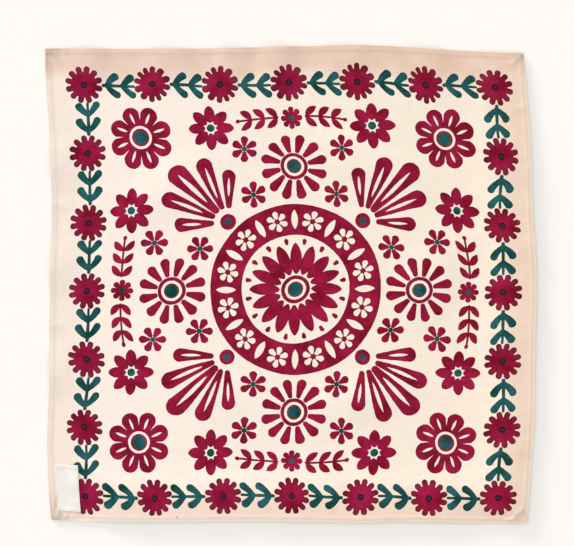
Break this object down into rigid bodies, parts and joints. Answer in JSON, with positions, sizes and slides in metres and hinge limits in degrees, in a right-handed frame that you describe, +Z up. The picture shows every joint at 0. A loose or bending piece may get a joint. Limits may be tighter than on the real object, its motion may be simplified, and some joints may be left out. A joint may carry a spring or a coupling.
{
  "type": "square scarf",
  "caption": "Square printed cotton scarf with a narrow turned hem and a sewn-on label, lying face up with a slightly uneven outline and softly lifted edges.",
  "frame": {"origin": "on the surface that the scarf lies on, under the middle of the scarf's outline", "axes": "+Z up out of the printed face, +X to the right of the print and +Y to its top"},
  "size_m": [0.6142, 0.5978, 0.0066],
  "materials": {
    "printed_cotton": "light plain-weave cotton, matte, cream ground with a wine red and teal flower and leaf print and peach margins",
    "woven_label": "off-white satin-woven ribbon, slightly lustrous, bare"
  },
  "bodies": {
    "root": {"cloth": "printed_cotton", "label": "woven_label"}
  },
  "joints": []
}
